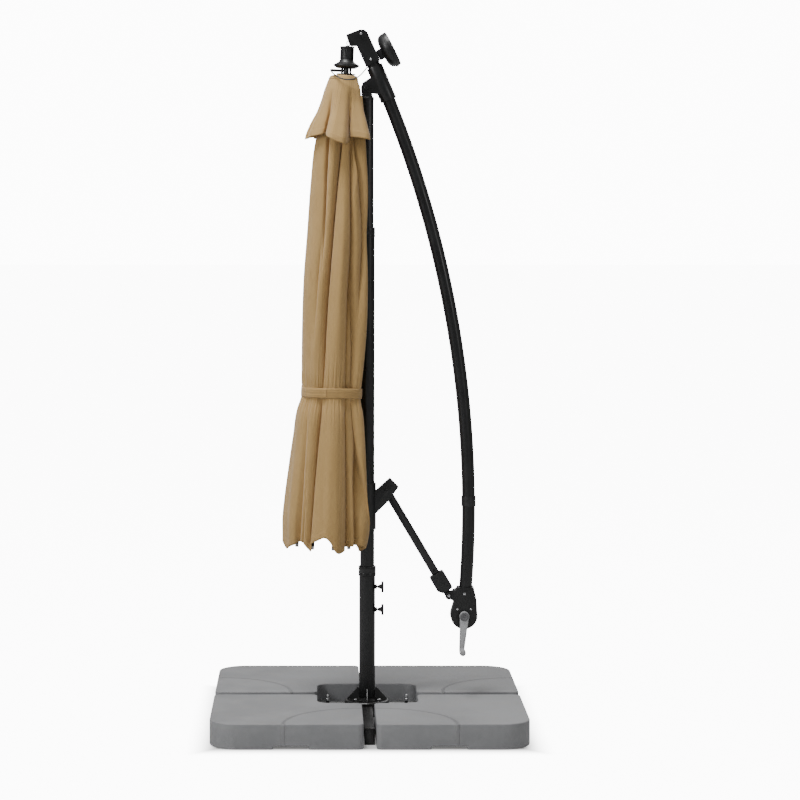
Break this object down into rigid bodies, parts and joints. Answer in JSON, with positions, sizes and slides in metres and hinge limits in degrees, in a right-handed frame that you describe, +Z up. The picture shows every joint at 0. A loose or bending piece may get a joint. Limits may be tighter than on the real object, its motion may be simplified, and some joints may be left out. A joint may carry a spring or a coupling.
{
  "type": "hanging patio umbrella with weighted base",
  "caption": "Folded hanging parasol on a curved sliding arm, with a two-stage mast, crank, lamp unit and a low square base of grey weights on a steel cross.",
  "frame": {"origin": "on the ground under the mast's axis, at the centre of the base", "axes": "+Z up the mast, +X towards the crank side of the arm, -Y the front"},
  "size_m": [1, 1, 2.2444],
  "materials": {
    "black_steel": "satin black powder coat",
    "black_plastic": "fine-grained black moulding",
    "grey_weight": "fine-grained grey shell",
    "bright_steel": "zinc plated",
    "crank_grey": "satin grey",
    "canopy_cloth": "plain woven polyester, sand"
  },
  "bodies": {
    "base": {"weight_front_left": "grey_weight", "weight_front_right": "grey_weight", "weight_rear_left": "grey_weight", "weight_rear_right": "grey_weight", "cross_base": "black_steel", "mast_foot": "black_steel", "lower_pole": "black_steel"},
    "thumb_screw_lower": {"thumb_screw_lower": "black_plastic"},
    "thumb_screw_upper": {"thumb_screw_upper": "black_plastic"},
    "mast": {"mid_pole": "black_steel", "upper_pole": "black_steel", "mast_top": "black_plastic"},
    "slider": {"slider": "black_plastic"},
    "strut": {"strut_bar": "black_steel", "strut_end_block": "black_plastic"},
    "guide": {"arm_guide": "black_steel"},
    "arm": {"arm_upper_tube": "black_steel", "arm_lower_tube": "black_steel", "arm_joint_collar": "black_plastic", "head_channel": "black_steel", "crank_housing_front": "black_plastic", "crank_housing_rear": "black_plastic", "lamp_housing": "black_plastic", "led_cable": "black_plastic"},
    "crank": {"cord_drum": "black_plastic", "crank_handle": "crank_grey"},
    "grip": {"crank_grip": "crank_grey"},
    "power_button": {"power_button": "black_plastic"},
    "canopy_hub": {"canopy_socket": "black_plastic", "eye_bolt": "bright_steel", "hub_crown": "black_plastic", "centre_pole": "black_steel"},
    "runner": {"runner": "black_plastic"},
    "rib_1": {"rib_1": "black_steel"},
    "rib_2": {"rib_2": "black_steel"},
    "rib_3": {"rib_3": "black_steel", "tie_strap": "canopy_cloth"},
    "rib_4": {"rib_4": "black_steel"},
    "rib_5": {"rib_5": "black_steel"},
    "rib_6": {"rib_6": "black_steel"},
    "rib_7": {"rib_7": "black_steel"},
    "rib_8": {"rib_8": "black_steel"},
    "stretcher_1": {"stretcher_1": "black_steel"},
    "stretcher_2": {"stretcher_2": "black_steel"},
    "stretcher_3": {"stretcher_3": "black_steel"},
    "stretcher_4": {"stretcher_4": "black_steel"},
    "stretcher_5": {"stretcher_5": "black_steel"},
    "stretcher_6": {"stretcher_6": "black_steel"},
    "stretcher_7": {"stretcher_7": "black_steel"},
    "stretcher_8": {"stretcher_8": "black_steel"},
    "gore_1": {"gore_1": "canopy_cloth"},
    "gore_2": {"gore_2": "canopy_cloth"},
    "gore_3": {"gore_3": "canopy_cloth"},
    "gore_4": {"gore_4": "canopy_cloth"},
    "gore_5": {"gore_5": "canopy_cloth"},
    "gore_6": {"gore_6": "canopy_cloth"},
    "gore_7": {"gore_7": "canopy_cloth"},
    "gore_8": {"gore_8": "canopy_cloth"}
  },
  "joints": [
    {"name": "mast_turn", "type": "hinge", "parent": "base", "child": "mast", "pos_m": [0, 0, 0.48], "axis": [0, 0, 1], "continuous": true},
    {"name": "lower_screw_turn", "type": "hinge", "parent": "base", "child": "thumb_screw_lower", "pos_m": [0.04, 0, 0.357], "axis": [1, 0, 0], "continuous": true},
    {"name": "upper_screw_turn", "type": "hinge", "parent": "base", "child": "thumb_screw_upper", "pos_m": [0.04, 0, 0.432], "axis": [1, 0, 0], "continuous": true},
    {"name": "arm_lift", "type": "hinge", "parent": "mast", "child": "guide", "pos_m": [-0.006, 0, 2.058], "axis": [0, -1, 0], "range_deg": [0, 38]},
    {"name": "arm_slide", "type": "hinge", "parent": "guide", "child": "arm", "pos_m": [-3.204, 0, 0.68], "axis": [0, -1, 0], "range_deg": [0, 21.32]},
    {"name": "slider_travel", "type": "slide", "parent": "mast", "child": "slider", "axis": [0, 0, 1], "range_m": [0, 0.79897]},
    {"name": "strut_swing", "type": "hinge", "parent": "slider", "child": "strut", "pos_m": [0.0622, 0, 0.7499], "axis": [0, -1, 0], "range_deg": [0, 107.31]},
    {"name": "canopy_level", "type": "hinge", "parent": "arm", "child": "canopy_hub", "pos_m": [-0.059, 0, 2.205], "axis": [0, -1, 0], "range_deg": [-56.56, 0], "deforming": ["led_cable"]},
    {"name": "runner_travel", "type": "slide", "parent": "canopy_hub", "child": "runner", "axis": [0.0489, 0, 0.9988], "range_m": [0, 0.56297]},
    {"name": "crank_turn", "type": "hinge", "parent": "arm", "child": "crank", "pos_m": [0.3164, 0, 0.3394], "axis": [0, 1, 0], "continuous": true},
    {"name": "grip_spin", "type": "hinge", "parent": "crank", "child": "grip", "pos_m": [0.308, -0.075, 0.23], "axis": [0, 1, 0], "continuous": true},
    {"name": "power_press", "type": "slide", "parent": "arm", "child": "power_button", "axis": [-0.454, 0, 0.891], "range_m": [0, 0.0015], "stiffness_N_per_m": 900},
    {"name": "rib_1_swing", "type": "hinge", "parent": "canopy_hub", "child": "rib_1", "pos_m": [-0.03912, 0.01339, 2.07756], "axis": [0.3822, -0.9239, -0.0187], "range_deg": [0, 66.27]},
    {"name": "stretcher_1_swing", "type": "hinge", "parent": "rib_1", "child": "stretcher_1", "pos_m": [-0.04804, 0.0188, 1.62768], "axis": [0.3822, -0.9239, -0.0187], "range_deg": [-132.53, 0]},
    {"name": "rib_2_swing", "type": "hinge", "parent": "canopy_hub", "child": "rib_2", "pos_m": [-0.05804, 0.03234, 2.07849], "axis": [0.9228, -0.3827, -0.0451], "range_deg": [0, 66.27]},
    {"name": "stretcher_2_swing", "type": "hinge", "parent": "rib_2", "child": "stretcher_2", "pos_m": [-0.0746, 0.04539, 1.62898], "axis": [0.9228, -0.3827, -0.0451], "range_deg": [-132.53, 0]},
    {"name": "rib_3_swing", "type": "hinge", "parent": "canopy_hub", "child": "rib_3", "pos_m": [-0.08479, 0.03234, 2.0798], "axis": [0.9228, 0.3827, -0.0451], "range_deg": [0, 66.27], "deforming": ["tie_strap"]},
    {"name": "stretcher_3_swing", "type": "hinge", "parent": "rib_3", "child": "stretcher_3", "pos_m": [-0.11217, 0.04539, 1.63082], "axis": [0.9228, 0.3827, -0.0451], "range_deg": [-132.53, 0]},
    {"name": "rib_4_swing", "type": "hinge", "parent": "canopy_hub", "child": "rib_4", "pos_m": [-0.10371, 0.01339, 2.08072], "axis": [0.3822, 0.9239, -0.0187], "range_deg": [0, 66.27]},
    {"name": "stretcher_4_swing", "type": "hinge", "parent": "rib_4", "child": "stretcher_4", "pos_m": [-0.13872, 0.0188, 1.63212], "axis": [0.3822, 0.9239, -0.0187], "range_deg": [-132.53, 0]},
    {"name": "rib_5_swing", "type": "hinge", "parent": "canopy_hub", "child": "rib_5", "pos_m": [-0.10371, -0.01339, 2.08072], "axis": [-0.3822, 0.9239, 0.0187], "range_deg": [0, 66.27]},
    {"name": "stretcher_5_swing", "type": "hinge", "parent": "rib_5", "child": "stretcher_5", "pos_m": [-0.13872, -0.0188, 1.63212], "axis": [-0.3822, 0.9239, 0.0187], "range_deg": [-132.53, 0]},
    {"name": "rib_6_swing", "type": "hinge", "parent": "canopy_hub", "child": "rib_6", "pos_m": [-0.08479, -0.03234, 2.0798], "axis": [-0.9228, 0.3827, 0.0451], "range_deg": [0, 66.27]},
    {"name": "stretcher_6_swing", "type": "hinge", "parent": "rib_6", "child": "stretcher_6", "pos_m": [-0.11217, -0.04539, 1.63082], "axis": [-0.9228, 0.3827, 0.0451], "range_deg": [-132.53, 0]},
    {"name": "rib_7_swing", "type": "hinge", "parent": "canopy_hub", "child": "rib_7", "pos_m": [-0.05804, -0.03234, 2.07849], "axis": [-0.9228, -0.3827, 0.0451], "range_deg": [0, 66.27]},
    {"name": "stretcher_7_swing", "type": "hinge", "parent": "rib_7", "child": "stretcher_7", "pos_m": [-0.0746, -0.04539, 1.62898], "axis": [-0.9228, -0.3827, 0.0451], "range_deg": [-132.53, 0]},
    {"name": "rib_8_swing", "type": "hinge", "parent": "canopy_hub", "child": "rib_8", "pos_m": [-0.03912, -0.01339, 2.07756], "axis": [-0.3822, -0.9239, 0.0187], "range_deg": [0, 66.27]},
    {"name": "stretcher_8_swing", "type": "hinge", "parent": "rib_8", "child": "stretcher_8", "pos_m": [-0.04804, -0.0188, 1.62768], "axis": [-0.3822, -0.9239, 0.0187], "range_deg": [-132.53, 0]},
    {"name": "gore_1_spread", "type": "hinge", "parent": "rib_1", "child": "gore_1", "pos_m": [-0.09907, -0.03006, 2.12897], "axis": [0.5798, 0.6057, -0.5449], "range_deg": [0, 48.3], "deforming": ["gore_1"]},
    {"name": "gore_2_spread", "type": "hinge", "parent": "rib_2", "child": "gore_2", "pos_m": [-0.06905, -0.04251, 2.1275], "axis": [-0.0252, 0.8566, -0.5153], "range_deg": [0, 48.3], "deforming": ["gore_2"]},
    {"name": "gore_3_spread", "type": "hinge", "parent": "rib_3", "child": "gore_3", "pos_m": [-0.03902, -0.03006, 2.12603], "axis": [-0.6302, 0.6057, -0.4857], "range_deg": [0, 48.3], "deforming": ["gore_3"]},
    {"name": "gore_4_spread", "type": "hinge", "parent": "rib_4", "child": "gore_4", "pos_m": [-0.02659, 0, 2.12543], "axis": [-0.8808, 0, -0.4735], "range_deg": [0, 48.3], "deforming": ["gore_4"]},
    {"name": "gore_5_spread", "type": "hinge", "parent": "rib_5", "child": "gore_5", "pos_m": [-0.03902, 0.03006, 2.12603], "axis": [-0.6302, -0.6057, -0.4857], "range_deg": [0, 48.3], "deforming": ["gore_5"]},
    {"name": "gore_6_spread", "type": "hinge", "parent": "rib_6", "child": "gore_6", "pos_m": [-0.06905, 0.04251, 2.1275], "axis": [-0.0252, -0.8566, -0.5153], "range_deg": [0, 48.3], "deforming": ["gore_6"]},
    {"name": "gore_7_spread", "type": "hinge", "parent": "rib_7", "child": "gore_7", "pos_m": [-0.09907, 0.03006, 2.12897], "axis": [0.5798, -0.6057, -0.5449], "range_deg": [0, 48.3], "deforming": ["gore_7"]},
    {"name": "gore_8_spread", "type": "hinge", "parent": "rib_8", "child": "gore_8", "pos_m": [-0.11151, 0, 2.12958], "axis": [0.8304, 0, -0.5572], "range_deg": [0, 48.3], "deforming": ["gore_8"]}
  ],
  "couplings": [
    {"joint": "arm_slide", "follows": "arm_lift", "ratio": 0.56053},
    {"joint": "slider_travel", "follows": "arm_lift", "m_per_rad": 1.2035},
    {"joint": "strut_swing", "follows": "arm_lift", "ratio": 2.8212},
    {"joint": "canopy_level", "follows": "arm_lift", "ratio": -1.4868},
    {"joint": "runner_travel", "follows": "arm_lift", "m_per_rad": 0.84799},
    {"joint": "rib_1_swing", "follows": "arm_lift", "ratio": 1.7421},
    {"joint": "stretcher_1_swing", "follows": "arm_lift", "ratio": -3.4842},
    {"joint": "rib_2_swing", "follows": "arm_lift", "ratio": 1.7421},
    {"joint": "stretcher_2_swing", "follows": "arm_lift", "ratio": -3.4842},
    {"joint": "rib_3_swing", "follows": "arm_lift", "ratio": 1.7421},
    {"joint": "stretcher_3_swing", "follows": "arm_lift", "ratio": -3.4842},
    {"joint": "rib_4_swing", "follows": "arm_lift", "ratio": 1.7421},
    {"joint": "stretcher_4_swing", "follows": "arm_lift", "ratio": -3.4842},
    {"joint": "rib_5_swing", "follows": "arm_lift", "ratio": 1.7421},
    {"joint": "stretcher_5_swing", "follows": "arm_lift", "ratio": -3.4842},
    {"joint": "rib_6_swing", "follows": "arm_lift", "ratio": 1.7421},
    {"joint": "stretcher_6_swing", "follows": "arm_lift", "ratio": -3.4842},
    {"joint": "rib_7_swing", "follows": "arm_lift", "ratio": 1.7421},
    {"joint": "stretcher_7_swing", "follows": "arm_lift", "ratio": -3.4842},
    {"joint": "rib_8_swing", "follows": "arm_lift", "ratio": 1.7421},
    {"joint": "stretcher_8_swing", "follows": "arm_lift", "ratio": -3.4842},
    {"joint": "gore_1_spread", "follows": "arm_lift", "ratio": 1.2698},
    {"joint": "gore_2_spread", "follows": "arm_lift", "ratio": 1.2698},
    {"joint": "gore_3_spread", "follows": "arm_lift", "ratio": 1.2698},
    {"joint": "gore_4_spread", "follows": "arm_lift", "ratio": 1.2698},
    {"joint": "gore_5_spread", "follows": "arm_lift", "ratio": 1.2698},
    {"joint": "gore_6_spread", "follows": "arm_lift", "ratio": 1.2698},
    {"joint": "gore_7_spread", "follows": "arm_lift", "ratio": 1.2698},
    {"joint": "gore_8_spread", "follows": "arm_lift", "ratio": 1.2698}
  ]
}
